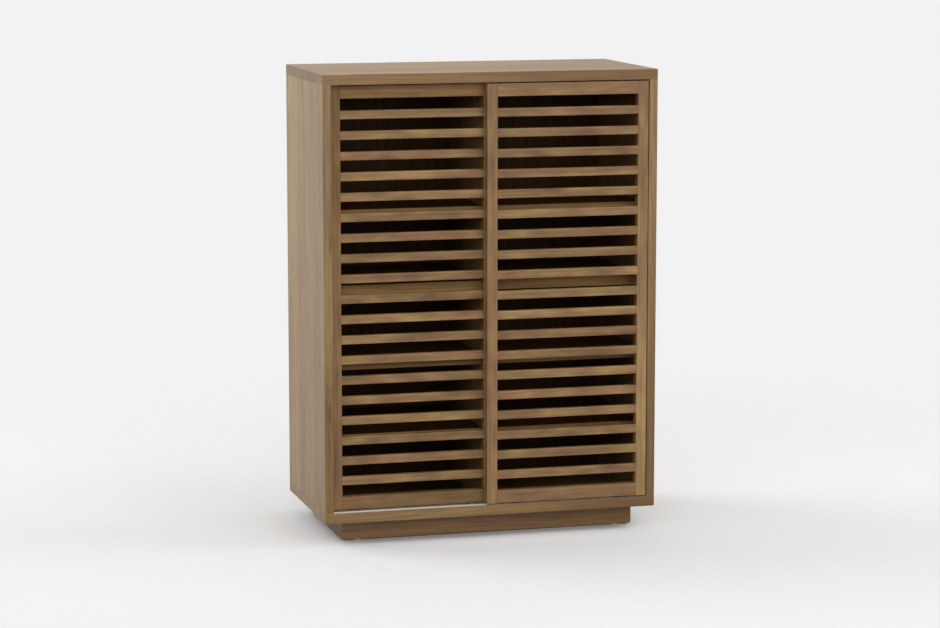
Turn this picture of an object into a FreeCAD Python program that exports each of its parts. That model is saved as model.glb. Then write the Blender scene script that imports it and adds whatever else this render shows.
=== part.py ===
"""Tall slatted cabinet with two by-passing sliding doors, in millimetres.

The frame stands on the floor: X runs to the right, Y runs from the front to the back, Z is up,
and the origin is on the floor under the middle of the case. The case is a box of solid wood
boards on a recessed plinth. A partition halves it, and each half has four shelves let into
housings in the uprights. The left door runs on the rear track and the right door on the front
track. Each door is a mortised frame that holds a ladder of thin slats. It rolls on two wheels in
a channel in the floor of the case, and two guides keep it upright in a channel under the top.
"""

import FreeCAD
import Part
import math
import os
import Sketcher
from types import SimpleNamespace

# Driving dimensions, each written once. Every other size and place is worked out from these.
SIZES = [
    ("case_width", 800, "outer width of the case"),
    ("case_depth", 400, "outer depth of the case"),
    ("case_height", 1038, "height of the case without plinth and glides"),
    ("top_thickness", 24, "thickness of the top board"),
    ("bottom_thickness", 24, "thickness of the bottom board"),
    ("side_thickness", 20, "thickness of each side board"),
    ("partition_thickness", 20, "thickness of the upright in the middle"),
    ("arris", 1, "width taken off the edges of the case boards and shelves"),
    ("tongue_thickness", 8, "thickness of the tongues on the ends of the uprights"),
    ("tongue_height", 8, "height of those tongues"),
    ("tongue_front_stop", 20, "bare length in front of a tongue"),
    ("tongue_rear_stop", 34, "bare length behind a tongue"),
    ("joint_play", 0.1, "play of a tongue, tenon or shelf end in its seat"),
    ("back_thickness", 6, "thickness of the back panel"),
    ("back_inset", 11, "from the rear edges of the case to the back panel"),
    ("back_groove_depth", 8, "depth of the groove that holds the back panel"),
    ("plinth_height", 46, "height of the plinth boards"),
    ("plinth_board_thickness", 20, "thickness of the plinth boards"),
    ("plinth_front_inset", 38, "from the case front to the plinth front"),
    ("plinth_rear_inset", 38, "from the case back to the plinth back"),
    ("plinth_side_inset", 46, "from the case sides to the plinth sides"),
    ("corner_block_leg", 34, "legs of the triangular glue blocks in the plinth"),
    ("corner_block_drop", 3, "from the underside of the plinth to a glue block"),
    ("glide_height", 4, "height of a floor glide"),
    ("glide_diameter", 16, "diameter of a floor glide"),
    ("glide_inset", 39, "from the end of the plinth to the middle of a glide"),
    ("axle_play", 0.05, "radial play of an axle in its bore, and of a roller on its axle"),
    ("door_top_gap", 3, "from the top of a door to the top board"),
    ("door_bottom_gap", 3, "from the bottom of a door to the bottom board"),
    ("door_side_gap", 1.5, "from a closed door to the side board"),
    ("door_thickness", 22, "thickness of the door frames"),
    ("front_door_setback", 1, "from the case front to the front door"),
    ("door_to_door_gap", 3.5, "between the two doors"),
    ("stile_width", 25, "width of the door stiles, and of the overlap of the doors"),
    ("rail_height", 30, "height of the top and bottom rails of a door"),
    ("frame_radius", 1.5, "rounding of the front edges of stiles and rails"),
    ("rail_tenon_length", 18, "length of the tenons on the rails"),
    ("rail_tenon_thickness", 8, "thickness of the tenons on the rails"),
    ("rail_tenon_shoulder", 5, "shoulder above and below a rail tenon"),
    ("slat_count", 19, "number of slats in a door"),
    ("slat_height", 20, "height of a slat"),
    ("slat_thickness", 12, "thickness of a slat"),
    ("slat_setback", 0.6, "from the door face to the slat face"),
    ("slat_radius", 2, "rounding of the front edges of a slat"),
    ("slat_tenon_length", 9, "length of the stub tenons on the slats"),
    ("slat_tenon_shoulder", 2.5, "shoulder all round a slat tenon"),
    ("shelf_thickness", 24, "thickness of the shelves"),
    ("shelf_setback", 52, "from the case front to the shelves and the partition"),
    ("shelf_housing_depth", 6, "depth of the housings that carry the shelves"),
    ("shelf_housing_stop", 14, "from the front of a shelf to the start of its housing"),
    ("lowest_clearance", 151.5, "from the bottom board to the lowest shelf"),
    ("shelf_pitch", 175, "from one shelf to the next"),
    ("shelf_count", 4, "number of shelves in each half"),
    ("channel_width", 8, "outer width of the door channels"),
    ("channel_wall", 1, "wall of the door channels, and thickness of their flanges"),
    ("channel_flange", 5, "how far the flanges of a floor channel reach past its walls"),
    ("floor_channel_depth", 4, "depth of the channels in the bottom board"),
    ("top_channel_depth", 12, "depth of the channels in the top board"),
    ("roller_diameter", 24, "diameter of a door roller"),
    ("roller_width", 5, "width of a door roller"),
    ("roller_rest_play", 0.3, "between a roller and its channel"),
    ("roller_inset", 62, "from the end of a door to the middle of a roller"),
    ("roller_headroom", 1.2, "free space round a roller in its housing"),
    ("roller_cheek_play", 0.45, "between a roller and the cheeks beside it"),
    ("axle_diameter", 4, "diameter of a roller axle"),
    ("housing_length", 34, "length of a roller housing"),
    ("housing_cheek", 1.7, "thickness of the two cheeks of a housing"),
    ("housing_height", 22, "height of a housing inside the rail"),
    ("flange_thickness", 1.5, "thickness of the flange of a housing"),
    ("flange_margin", 6, "how far the flange reaches past the ends of a housing"),
    ("flange_lip", 2, "how far the flange reaches past the cheeks"),
    ("guide_base_length", 30, "length of the base of a top guide"),
    ("guide_base_width", 11, "width of the base of a top guide"),
    ("guide_base_height", 4, "height of the base of a top guide"),
    ("guide_tongue_length", 24, "length of the tongue of a top guide"),
    ("guide_lead", 4, "length of the pointed ends of that tongue"),
    ("guide_side_play", 0.35, "from the tongue of a guide to the channel wall"),
    ("guide_lift", 5, "free height over a guide, for lifting the door out"),
]

doc = FreeCAD.newDocument("slatted_cabinet")
sheet = doc.addObject("Spreadsheet::Sheet", "Sizes")
for row, (alias, number, meaning) in enumerate(SIZES, start=1):
    sheet.set(f"A{row}", meaning)
    sheet.set(f"B{row}", str(number))
    sheet.setAlias(f"B{row}", alias)
doc.recompute()


class Length:
    """A length kept as an expression of the sheet's cells, so that it follows them."""

    def __init__(self, text):
        self.text = text

    def __str__(self):
        return self.text

    def __float__(self):
        return float(sheet.evalExpression(self.text))

    def __add__(self, other):
        return Length(f"({self} + {other})")

    def __radd__(self, other):
        return Length(f"({other} + {self})")

    def __sub__(self, other):
        return Length(f"({self} - {other})")

    def __rsub__(self, other):
        return Length(f"({other} - {self})")

    def __mul__(self, other):
        return Length(f"({self} * {other})")

    def __rmul__(self, other):
        return Length(f"({other} * {self})")

    def __truediv__(self, other):
        return Length(f"({self} / {other})")

    def __neg__(self):
        return Length(f"(0 - {self})")


size = SimpleNamespace(**{alias: Length(f"Sizes.{alias}") for alias, number, meaning in SIZES})
PLAY = size.joint_play

# The case, from the outside in
case_left = -size.case_width / 2
case_front = -size.case_depth / 2
case_floor = size.glide_height + size.plinth_height
floor_top = case_floor + size.bottom_thickness
ceiling = case_floor + size.case_height - size.top_thickness
opening_height = size.case_height - size.top_thickness - size.bottom_thickness
inner_left = case_left + size.side_thickness
inner_width = size.case_width - 2 * size.side_thickness
bay_width = (inner_width - size.partition_thickness) / 2
back_face = size.case_depth - size.back_inset - size.back_thickness
inner_depth = back_face - size.shelf_setback - PLAY
side_tongue = size.case_depth - size.tongue_front_stop - size.tongue_rear_stop
partition_tongue = inner_depth - size.tongue_front_stop - size.tongue_rear_stop
back_reach = size.back_groove_depth - PLAY
shelf_column = size.shelf_pitch * (size.shelf_count - 1)

# The plinth
plinth_width = size.case_width - 2 * size.plinth_side_inset
plinth_depth = size.case_depth - size.plinth_front_inset - size.plinth_rear_inset
plinth_left = case_left + size.plinth_side_inset
plinth_front = case_front + size.plinth_front_inset

# The doors and what they run on
door_width = (inner_width - 2 * size.door_side_gap + size.stile_width) / 2
door_height = opening_height - size.door_top_gap - size.door_bottom_gap
door_floor = floor_top + size.door_bottom_gap
door_top = door_floor + door_height
track_pitch = size.door_thickness + size.door_to_door_gap
front_door_front = case_front + size.front_door_setback
rear_door_front = front_door_front + track_pitch
front_channel = size.front_door_setback + (size.door_thickness - size.channel_width) / 2
channel_fronts = {"front": front_channel, "rear": front_channel + track_pitch}
rail_span = door_width - 2 * size.stile_width
slat_pitch = (door_height - 2 * size.rail_height + size.slat_height) / (size.slat_count + 1)
first_slat = size.rail_height - size.slat_height + slat_pitch
slat_ladder = slat_pitch * (size.slat_count - 1)
channel_floor = floor_top - size.floor_channel_depth + size.channel_wall
axle_height = channel_floor + size.roller_rest_play + size.roller_diameter / 2
housing_width = size.roller_width + 2 * size.roller_cheek_play + 2 * size.housing_cheek
near_roller = size.roller_inset - size.stile_width
roller_places = {"left": near_roller, "right": rail_span - near_roller}


def new_body(label, x, y, z):
    """A body with its own origin at the place that three lengths give."""
    body = doc.addObject("PartDesign::Body", label)
    body.Label = label
    for axis, place in zip("xyz", (x, y, z)):
        body.setExpression(f"Placement.Base.{axis}", str(place))
    return body


def origin_feature(body, role):
    """One of the origin planes or axes of a body."""
    for feature in body.Origin.OriginFeatures:
        if feature.Role == role:
            return feature
    raise RuntimeError(f"{body.Label} has no {role}")


def new_sketch(body, name, plane="XY_Plane", shift=(0, 0, 0)):
    """A sketch on an origin plane of its body, shifted along and away from that plane."""
    sketch = body.newObject("Sketcher::SketchObject", f"{body.Name}_{name}")
    sketch.AttachmentSupport = (origin_feature(body, plane), [""])
    sketch.MapMode = "FlatFace"
    for axis, length in zip("xyz", shift):
        sketch.setExpression(f"AttachmentOffset.Base.{axis}", str(length))
    return sketch


def bind(sketch, kind, *where, length):
    """A constraint whose size follows a length."""
    index = sketch.addConstraint(Sketcher.Constraint(kind, *where, float(length)))
    sketch.setExpression(f"Constraints[{index}]", str(length))


def place_point(sketch, where, across, up):
    """Fixes a point by its two coordinates, or on an axis where a coordinate is nothing."""
    for kind, axis, length in (("DistanceX", -2, across), ("DistanceY", -1, up)):
        if length is None:
            sketch.addConstraint(Sketcher.Constraint("PointOnObject", *where, axis))
        else:
            bind(sketch, kind, -1, 1, *where, length=length)


def draw_outline(sketch, points):
    """A closed outline through points, each two lengths or nothing where it lies on an axis."""
    first = sketch.GeometryCount
    count = len(points)
    corners = [FreeCAD.Vector(*(float(part or 0) for part in point), 0) for point in points]
    for index in range(count):
        line = Part.LineSegment(corners[index], corners[(index + 1) % count])
        sketch.addGeometry(line, False)
    for index, (across, up) in enumerate(points):
        after = first + (index + 1) % count
        sketch.addConstraint(Sketcher.Constraint("Coincident", first + index, 2, after, 1))
        place_point(sketch, (first + index, 1), across, up)


def draw_rectangle(sketch, width, height, radius=0, rounded=()):
    """A rectangle from the origin, with some corners rounded, counted anticlockwise from there."""
    bend = float(radius)
    wide, high = float(width), float(height)
    corners = [(0, 0), (wide, 0), (wide, high), (0, high)]
    corners = [FreeCAD.Vector(*corner, 0) for corner in corners]
    middle = FreeCAD.Vector(wide / 2, high / 2, 0)
    reach = [bend if index in rounded else 0 for index in range(4)]
    first = sketch.GeometryCount
    for index, start in enumerate(corners):
        after = (index + 1) % 4
        along = (corners[after] - start).normalize()
        ends = (start + along * reach[index], corners[after] - along * reach[after])
        sketch.addGeometry(Part.LineSegment(*ends), False)
        level = "Vertical" if index % 2 else "Horizontal"
        sketch.addConstraint(Sketcher.Constraint(level, first + index))
    sketch.addConstraint(Sketcher.Constraint("PointOnObject", first, 1, -1))
    sketch.addConstraint(Sketcher.Constraint("PointOnObject", first + 3, 1, -2))
    bind(sketch, "DistanceX", -1, 1, first + 1, 1, length=width)
    bind(sketch, "DistanceY", -1, 1, first + 2, 1, length=height)
    quarter = math.pi / 2
    for index, corner in enumerate(corners):
        before = first + (index - 1) % 4
        after = first + index
        if index not in rounded:
            sketch.addConstraint(Sketcher.Constraint("Coincident", before, 2, after, 1))
            continue
        inward = FreeCAD.Vector(
            math.copysign(bend, middle.x - corner.x), math.copysign(bend, middle.y - corner.y), 0
        )
        circle = Part.Circle(corner + inward, FreeCAD.Vector(0, 0, 1), bend)
        arc = Part.ArcOfCircle(circle, (index + 2) * quarter, (index + 3) * quarter)
        number = sketch.addGeometry(arc, False)
        sketch.addConstraint(Sketcher.Constraint("Tangent", before, 2, number, 1))
        sketch.addConstraint(Sketcher.Constraint("Tangent", number, 2, after, 1))
        bind(sketch, "Radius", number, length=radius)


def draw_circle(sketch, diameter, across=None, up=None):
    """A circle round a point, or round the origin."""
    centre = FreeCAD.Vector(float(across or 0), float(up or 0), 0)
    circle = Part.Circle(centre, FreeCAD.Vector(0, 0, 1), float(diameter) / 2)
    index = sketch.addGeometry(circle, False)
    place_point(sketch, (index, 3), across, up)
    bind(sketch, "Diameter", index, length=diameter)


def pad(body, sketch, length):
    """Adds the sketch's outline, swept the way the sketch faces."""
    feature = body.newObject("PartDesign::Pad", f"{sketch.Name}_pad")
    feature.Profile = sketch
    feature.setExpression("Length", str(length))
    sketch.Visibility = False
    return feature


def cut(body, sketch, length):
    """Cuts the sketch's outline out, swept the way the sketch faces."""
    feature = body.newObject("PartDesign::Pocket", f"{sketch.Name}_cut")
    feature.Profile = sketch
    feature.Reversed = True
    feature.setExpression("Length", str(length))
    sketch.Visibility = False
    return feature


def add_block(body, name, corner, extent):
    """Adds a block from its lowest corner and its size, both in the body's own axes."""
    sketch = new_sketch(body, name, shift=corner)
    draw_rectangle(sketch, extent[0], extent[1])
    return pad(body, sketch, extent[2])


def cut_block(body, name, corner, extent):
    """Cuts out a block given by its lowest corner and its size, both in the body's own axes."""
    sketch = new_sketch(body, name, shift=corner)
    draw_rectangle(sketch, extent[0], extent[1])
    return cut(body, sketch, extent[2])


def repeat(body, features, length, count):
    """Repeats features upwards, evenly over a length."""
    row = body.newObject("PartDesign::LinearPattern", f"{features[-1].Name}_row")
    row.Originals = features
    row.Direction = (origin_feature(body, "Z_Axis"), [""])
    row.setExpression("Length", str(length))
    row.setExpression("Occurrences", str(count))
    body.Tip = row


def take_arris(body, chosen):
    """Takes the arris off those straight edges of a body that a test of their ends picks."""
    doc.recompute()
    base = body.Tip
    names = []
    for number, edge in enumerate(base.Shape.Edges, start=1):
        if chosen(*(vertex.Point for vertex in edge.Vertexes)):
            names.append(f"Edge{number}")
    feature = body.newObject("PartDesign::Chamfer", f"{body.Name}_arris")
    feature.Base = (base, names)
    feature.setExpression("Size", str(size.arris))


def level(start, end):
    """Whether an edge is level."""
    return abs(start.z - end.z) < 0.001


def at_front(start, end):
    """Whether an edge lies in the front plane of its body."""
    return abs(start.y) + abs(end.y) < 0.001


def cut_tongue_groove(body, name, centre, front, run, groove_level):
    """A stopped groove in the top or bottom board for the tongue on the end of an upright."""
    width = size.tongue_thickness + 2 * PLAY
    corner = (centre - width / 2, front - PLAY, groove_level)
    cut_block(body, name, corner, (width, run + 2 * PLAY, size.tongue_height + PLAY))


def groove_inside(body, inside, downwards):
    """Grooves the inner face of a top or bottom board for the uprights and the back panel."""
    tongue_level = inside
    back_level = inside
    if downwards:
        tongue_level = inside - size.tongue_height - PLAY
        back_level = inside - size.back_groove_depth
    side_middle = size.side_thickness / 2
    middles = {"left_groove": side_middle, "right_groove": size.case_width - side_middle}
    for name, middle in middles.items():
        cut_tongue_groove(body, name, middle, size.tongue_front_stop, side_tongue, tongue_level)
    front = size.shelf_setback + size.tongue_front_stop
    middle = size.case_width / 2
    cut_tongue_groove(body, "middle_groove", middle, front, partition_tongue, tongue_level)
    corner = (size.side_thickness - size.back_groove_depth, back_face - PLAY, back_level)
    run = inner_width + 2 * size.back_groove_depth
    extent = (run, size.back_thickness + 2 * PLAY, size.back_groove_depth)
    cut_block(body, "back_groove", corner, extent)


def seat_channels(body, seat_level, depth):
    """Cuts the two long seats for the door channels."""
    for name, front in channel_fronts.items():
        corner = (size.side_thickness, front, seat_level)
        cut_block(body, f"{name}_channel_seat", corner, (inner_width, size.channel_width, depth))


def top_panel():
    """The top board, which runs over the sides."""
    body = new_body("top_panel", case_left, case_front, ceiling)
    thickness = size.top_thickness
    add_block(body, "board", (0, 0, 0), (size.case_width, size.case_depth, thickness))
    outside = float(thickness)
    take_arris(body, lambda start, end: not level(start, end) or start.z == outside)
    groove_inside(body, 0, downwards=False)
    seat_channels(body, 0, size.top_channel_depth)
    return body


def bottom_panel():
    """The bottom board, which runs under the sides."""
    body = new_body("bottom_panel", case_left, case_front, case_floor)
    thickness = size.bottom_thickness
    add_block(body, "board", (0, 0, 0), (size.case_width, size.case_depth, thickness))
    take_arris(body, lambda start, end: not level(start, end) or start.z == 0)
    groove_inside(body, thickness, downwards=True)
    depth = size.floor_channel_depth
    seat_channels(body, thickness - depth, depth)
    wall = size.channel_wall
    reach = size.channel_flange
    extent = (inner_width, size.channel_width + 2 * reach, wall)
    for name, front in channel_fronts.items():
        corner = (size.side_thickness, front - reach, thickness - wall)
        cut_block(body, f"{name}_flange_seat", corner, extent)
    return body


def add_tongues(body, thickness, run):
    """Tongues on the two ends of an upright, in the middle of its thickness."""
    start = (thickness - size.tongue_thickness) / 2
    extent = (size.tongue_thickness, run, size.tongue_height)
    front = size.tongue_front_stop
    add_block(body, "top_tongue", (start, front, opening_height), extent)
    add_block(body, "bottom_tongue", (start, front, -size.tongue_height), extent)


def house_shelves(body, name, start, shelf_front):
    """A column of stopped housings, one for the end of each shelf."""
    front = shelf_front + size.shelf_housing_stop - PLAY
    extent = (
        size.shelf_housing_depth,
        inner_depth - size.shelf_housing_stop + 2 * PLAY,
        size.shelf_thickness + 2 * PLAY,
    )
    first = cut_block(body, name, (start, front, size.lowest_clearance - PLAY), extent)
    repeat(body, [first], shelf_column, size.shelf_count)


def side_panel(name, x, inner_face_on_right):
    """A side of the case, with end tongues, shelf housings and a groove for the back panel."""
    body = new_body(f"{name}_side_panel", x, case_front, floor_top)
    thickness = size.side_thickness
    add_block(body, "board", (0, 0, 0), (thickness, size.case_depth, opening_height))
    take_arris(body, lambda start, end: not level(start, end))
    add_tongues(body, thickness, side_tongue)
    depth = size.back_groove_depth
    start = thickness - depth if inner_face_on_right else 0
    extent = (depth, size.back_thickness + 2 * PLAY, opening_height)
    cut_block(body, "back_groove", (start, back_face - PLAY, 0), extent)
    start = thickness - size.shelf_housing_depth if inner_face_on_right else 0
    house_shelves(body, "shelf_housing", start, size.shelf_setback)
    return body


def centre_partition():
    """The upright in the middle, housed on both faces."""
    thickness = size.partition_thickness
    front = case_front + size.shelf_setback
    body = new_body("centre_partition", -thickness / 2, front, floor_top)
    add_block(body, "board", (0, 0, 0), (thickness, inner_depth, opening_height))
    take_arris(body, lambda start, end: at_front(start, end) and not level(start, end))
    add_tongues(body, thickness, partition_tongue)
    house_shelves(body, "left_housing", 0, 0)
    house_shelves(body, "right_housing", thickness - size.shelf_housing_depth, 0)
    return body


def back_panel():
    """The thin back, held in grooves on all four sides."""
    corner = (inner_left - back_reach, case_front + back_face, floor_top - back_reach)
    body = new_body("back_panel", *corner)
    extent = (
        inner_width + 2 * back_reach,
        size.back_thickness,
        opening_height + 2 * back_reach,
    )
    add_block(body, "board", (0, 0, 0), extent)
    return body


def shelf(name, x, z):
    """A shelf whose ends are cut back at the front, so that the housings don't show."""
    body = new_body(name, x, case_front + size.shelf_setback, z)
    add_block(body, "board", (0, 0, 0), (bay_width, inner_depth, size.shelf_thickness))
    take_arris(body, lambda start, end: at_front(start, end) and level(start, end))
    reach = size.shelf_housing_depth - PLAY
    stop = size.shelf_housing_stop
    extent = (bay_width + 2 * reach, inner_depth - stop, size.shelf_thickness)
    add_block(body, "ends", (-reach, stop, 0), extent)
    return body


def shelves():
    """Four shelves in each half, counted from the lowest."""
    bays = {"left": inner_left, "right": size.partition_thickness / 2}
    lowest = floor_top + size.lowest_clearance
    bodies = []
    for side, x in bays.items():
        for step in range(int(float(size.shelf_count))):
            bodies.append(shelf(f"{side}_shelf_{step + 1}", x, lowest + step * size.shelf_pitch))
    return bodies


def plinth_board(name, x, y, outline):
    """A board of the plinth with its two ends mitred."""
    body = new_body(f"plinth_{name}_board", x, y, size.glide_height)
    sketch = new_sketch(body, "plan")
    draw_outline(sketch, outline)
    pad(body, sketch, size.plinth_height)
    return body


def plinth():
    """Four mitred boards, a rail across the middle and a glue block in each corner."""
    board = size.plinth_board_thickness
    far_x = plinth_width - board
    far_y = plinth_depth - board
    none = None
    outlines = {
        "front": [(none, none), (plinth_width, none), (far_x, board), (board, board)],
        "rear": [(board, none), (far_x, none), (plinth_width, board), (none, board)],
        "left": [(none, none), (board, board), (board, far_y), (none, plinth_depth)],
        "right": [(none, board), (board, none), (board, plinth_depth), (none, far_y)],
    }
    front = plinth_board("front", plinth_left, plinth_front, outlines["front"])
    rear = plinth_board("rear", plinth_left, plinth_front + far_y, outlines["rear"])
    left = plinth_board("left", plinth_left, plinth_front, outlines["left"])
    right = plinth_board("right", plinth_left + far_x, plinth_front, outlines["right"])
    rail = new_body("plinth_cross_rail", -board / 2, plinth_front + board, size.glide_height)
    add_block(rail, "rail", (0, 0, 0), (board, far_y - board, size.plinth_height))
    return [front, rear, left, right, rail, plinth_corner_blocks(board, far_x, far_y)]


def plinth_corner_blocks(board, far_x, far_y):
    """Triangular blocks glued into the inner corners of the plinth, up against the case."""
    lift = size.corner_block_drop
    body = new_body("plinth_corner_blocks", plinth_left, plinth_front, size.glide_height + lift)
    body.AllowCompound = True
    sketch = new_sketch(body, "plan")
    leg = size.corner_block_leg
    for x, reach_x in ((board, board + leg), (far_x, far_x - leg)):
        for y, reach_y in ((board, board + leg), (far_y, far_y - leg)):
            draw_outline(sketch, [(x, y), (reach_x, y), (x, reach_y)])
    pad(body, sketch, size.plinth_height - lift)
    return body


def glide(name, x, y):
    """A round pad that is glued under the plinth."""
    body = new_body(f"{name}_glide", x, y, 0)
    sketch = new_sketch(body, "outline")
    draw_circle(sketch, size.glide_diameter)
    pad(body, sketch, size.glide_height)
    return body


def glides():
    """A glide under each end of the two long plinth boards."""
    half_board = size.plinth_board_thickness / 2
    x = plinth_width / 2 - size.glide_inset
    front = plinth_front + half_board
    rear = plinth_front + plinth_depth - half_board
    return [
        glide("front_left", -x, front),
        glide("front_right", x, front),
        glide("rear_left", -x, rear),
        glide("rear_right", x, rear),
    ]


def channel(name, y, z, depth, way_level):
    """A straight channel with two walls and a web, as long as the case is wide inside."""
    body = new_body(f"{name}_channel", inner_left, y, z)
    wall = size.channel_wall
    add_block(body, "section", (0, 0, 0), (inner_width, size.channel_width, depth))
    extent = (inner_width, size.channel_width - 2 * wall, depth - wall)
    cut_block(body, "way", (0, wall, way_level), extent)
    return body


def floor_channel(name, y):
    """A channel for the rollers, with a flange on each side that lies flush in the board."""
    depth = size.floor_channel_depth
    wall = size.channel_wall
    reach = size.channel_flange
    body = channel(f"{name}_floor", y, floor_top - depth, depth, wall)
    for side, start in (("front", -reach), ("rear", size.channel_width)):
        add_block(body, f"{side}_flange", (0, start, depth - wall), (inner_width, reach, wall))
    return body


def channels():
    """Two channels in the floor of the case and two under its top."""
    bodies = []
    for name, front in channel_fronts.items():
        y = case_front + front
        bodies.append(floor_channel(name, y))
        bodies.append(channel(f"{name}_top", y, ceiling, size.top_channel_depth, 0))
    return bodies


def door_stile(name, x, y, mortised_on_right):
    """An upright of a door frame, mortised for its two rails and for every slat."""
    body = new_body(name, x, y, door_floor)
    width = size.stile_width
    sketch = new_sketch(body, "section")
    draw_rectangle(sketch, width, size.door_thickness, size.frame_radius, rounded=(0, 1))
    pad(body, sketch, door_height)

    deep = size.rail_tenon_length + PLAY
    thick = size.rail_tenon_thickness + 2 * PLAY
    tall = size.rail_height - 2 * size.rail_tenon_shoulder + 2 * PLAY
    start = width - deep if mortised_on_right else 0
    front = (size.door_thickness - thick) / 2
    low = size.rail_tenon_shoulder - PLAY
    high = door_height - size.rail_height + low
    cut_block(body, "bottom_mortise", (start, front, low), (deep, thick, tall))
    cut_block(body, "top_mortise", (start, front, high), (deep, thick, tall))

    deep = size.slat_tenon_length + PLAY
    shoulder = size.slat_tenon_shoulder - PLAY
    start = width - deep if mortised_on_right else 0
    corner = (start, size.slat_setback + shoulder, first_slat + shoulder)
    extent = (deep, size.slat_thickness - 2 * shoulder, size.slat_height - 2 * shoulder)
    first = cut_block(body, "slat_mortise", corner, extent)
    repeat(body, [first], slat_ladder, size.slat_count)
    return body


def add_tenoned_bar(body, section, radius, tenon_corner, tenon_section, tenon_length):
    """A bar between the stiles, rounded at the front, and the tenons at its two ends."""
    sketch = new_sketch(body, "section", "YZ_Plane")
    draw_rectangle(sketch, *section, radius, rounded=(0, 3))
    bar = pad(body, sketch, rail_span)
    sketch = new_sketch(body, "tenons", "YZ_Plane", (*tenon_corner, -tenon_length))
    draw_rectangle(sketch, *tenon_section)
    return [bar, pad(body, sketch, rail_span + 2 * tenon_length)]


def door_rail(name, x, y, z):
    """A top or bottom rail with a tenon at each end."""
    body = new_body(name, x + size.stile_width, y, z)
    shoulder = size.rail_tenon_shoulder
    thick = size.rail_tenon_thickness
    add_tenoned_bar(
        body,
        (size.door_thickness, size.rail_height),
        size.frame_radius,
        ((size.door_thickness - thick) / 2, shoulder),
        (thick, size.rail_height - 2 * shoulder),
        size.rail_tenon_length,
    )
    return body


def cut_seats(body, kind, length, width, low, height):
    """Two seats in the middle of a rail's thickness, one near each end."""
    front = (size.door_thickness - width) / 2
    for name, middle in roller_places.items():
        corner = (middle - length / 2, front, low)
        cut_block(body, f"{name}_{kind}_seat", corner, (length, width, height))


def bottom_rail(name, x, y):
    """The bottom rail, cut from below for the two roller housings."""
    body = door_rail(name, x, y, door_floor)
    length = size.housing_length + 2 * PLAY
    cut_seats(body, "housing", length, housing_width + 2 * PLAY, 0, size.housing_height + PLAY)
    return body


def top_rail(name, x, y):
    """The top rail, cut from above for the bases of the two guides."""
    body = door_rail(name, x, y, door_top - size.rail_height)
    length = size.guide_base_length + 2 * PLAY
    depth = size.guide_base_height
    width = size.guide_base_width + 2 * PLAY
    cut_seats(body, "guide", length, width, size.rail_height - depth, depth)
    return body


def door_slats(name, x, y):
    """The ladder of slats, all alike and evenly spaced between the rails."""
    body = new_body(name, x + size.stile_width, y + size.slat_setback, door_floor + first_slat)
    body.AllowCompound = True
    shoulder = size.slat_tenon_shoulder
    features = add_tenoned_bar(
        body,
        (size.slat_thickness, size.slat_height),
        size.slat_radius,
        (shoulder, shoulder),
        (size.slat_thickness - 2 * shoulder, size.slat_height - 2 * shoulder),
        size.slat_tenon_length,
    )
    repeat(body, features, slat_ladder, size.slat_count)
    return body


def roller_housing(name, x, y):
    """A box let into the rail, slotted for the roller and bored for its axle, on a flange."""
    body = new_body(name, x, y, door_floor)
    length = size.housing_length
    corner = (-length / 2, -housing_width / 2, 0)
    add_block(body, "box", corner, (length, housing_width, size.housing_height))
    thick = size.flange_thickness
    long = length + 2 * size.flange_margin
    wide = housing_width + 2 * size.flange_lip
    add_block(body, "flange", (-long / 2, -wide / 2, -thick), (long, wide, thick))
    axle = axle_height - door_floor
    radius = size.roller_diameter / 2 + size.roller_headroom
    wide = size.roller_width + 2 * size.roller_cheek_play
    extent = (2 * radius, wide, thick + axle + radius)
    cut_block(body, "slot", (-radius, -wide / 2, -thick), extent)
    sketch = new_sketch(body, "bore", "XZ_Plane", (0, 0, -housing_width))
    draw_circle(sketch, size.axle_diameter + 2 * size.axle_play, up=axle)
    cut(body, sketch, 2 * housing_width)
    return body


def roller_axle(name, x, y):
    """The steel pin that a roller turns on."""
    body = new_body(name, x, y, axle_height)
    sketch = new_sketch(body, "section", "XZ_Plane", (0, 0, -housing_width / 2))
    draw_circle(sketch, size.axle_diameter)
    pad(body, sketch, housing_width)
    return body


def roller(name, x, y):
    """A small wheel bored to run on its axle."""
    body = new_body(name, x, y, axle_height)
    sketch = new_sketch(body, "section", "XZ_Plane", (0, 0, -size.roller_width / 2))
    draw_circle(sketch, size.roller_diameter)
    draw_circle(sketch, size.axle_diameter + 2 * size.axle_play)
    pad(body, sketch, size.roller_width)
    return body


def top_guide(name, x, y):
    """A guide let into the top rail, with a tongue that is pointed at both ends."""
    body = new_body(name, x, y, door_top)
    length, width = size.guide_base_length, size.guide_base_width
    depth = size.guide_base_height
    add_block(body, "base", (-length / 2, -width / 2, -depth), (length, width, depth))
    length = size.guide_tongue_length
    width = size.channel_width - 2 * size.channel_wall - 2 * size.guide_side_play
    lead = size.guide_lead
    outline = [
        (None, width / 2),
        (lead, None),
        (length - lead, None),
        (length, width / 2),
        (length - lead, width),
        (lead, width),
    ]
    sketch = new_sketch(body, "tongue", shift=(-length / 2, -width / 2, 0))
    draw_outline(sketch, outline)
    reach = size.top_channel_depth - size.channel_wall - size.guide_lift
    pad(body, sketch, size.door_top_gap + reach)
    return body


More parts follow.
